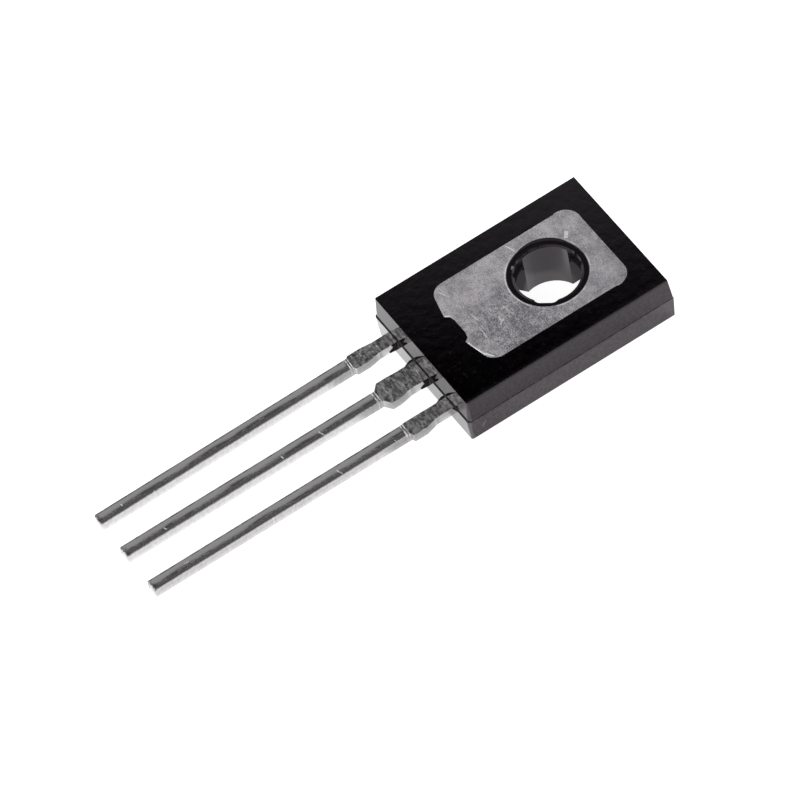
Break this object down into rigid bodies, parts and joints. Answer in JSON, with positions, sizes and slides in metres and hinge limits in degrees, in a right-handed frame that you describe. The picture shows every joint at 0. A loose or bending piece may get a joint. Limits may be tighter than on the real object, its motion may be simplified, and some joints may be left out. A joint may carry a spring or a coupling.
{
  "type": "three-lead plastic power transistor",
  "caption": "Flat black moulded power transistor with three straight tinned leads, a screw hole and a bare metal heat-sink pad on its back.",
  "frame": {"origin": "where the axis of the screw hole meets the marking face, on which the part lies", "axes": "+Y along the case away from the leads, +Z from the marking face to the bare metal pad, +X from the base lead to the emitter lead"},
  "size_m": [0.0076, 0.0267, 0.0026],
  "materials": {
    "moulded_epoxy": "glossy moulded black epoxy",
    "bare_pad": "matte nickel-plated copper with fine grain and light scratches",
    "tinned_lead": "bright tin plating over copper",
    "silicon": "polished silicon",
    "solder": "dull soft solder",
    "aluminium_wire": "drawn aluminium wire"
  },
  "bodies": {
    "root": {"case": "moulded_epoxy", "collector_frame": "bare_pad", "base_lead": "tinned_lead", "emitter_lead": "tinned_lead", "transistor_chip": "silicon", "chip_solder": "solder", "base_wire": "aluminium_wire", "emitter_wire": "aluminium_wire"}
  },
  "joints": []
}
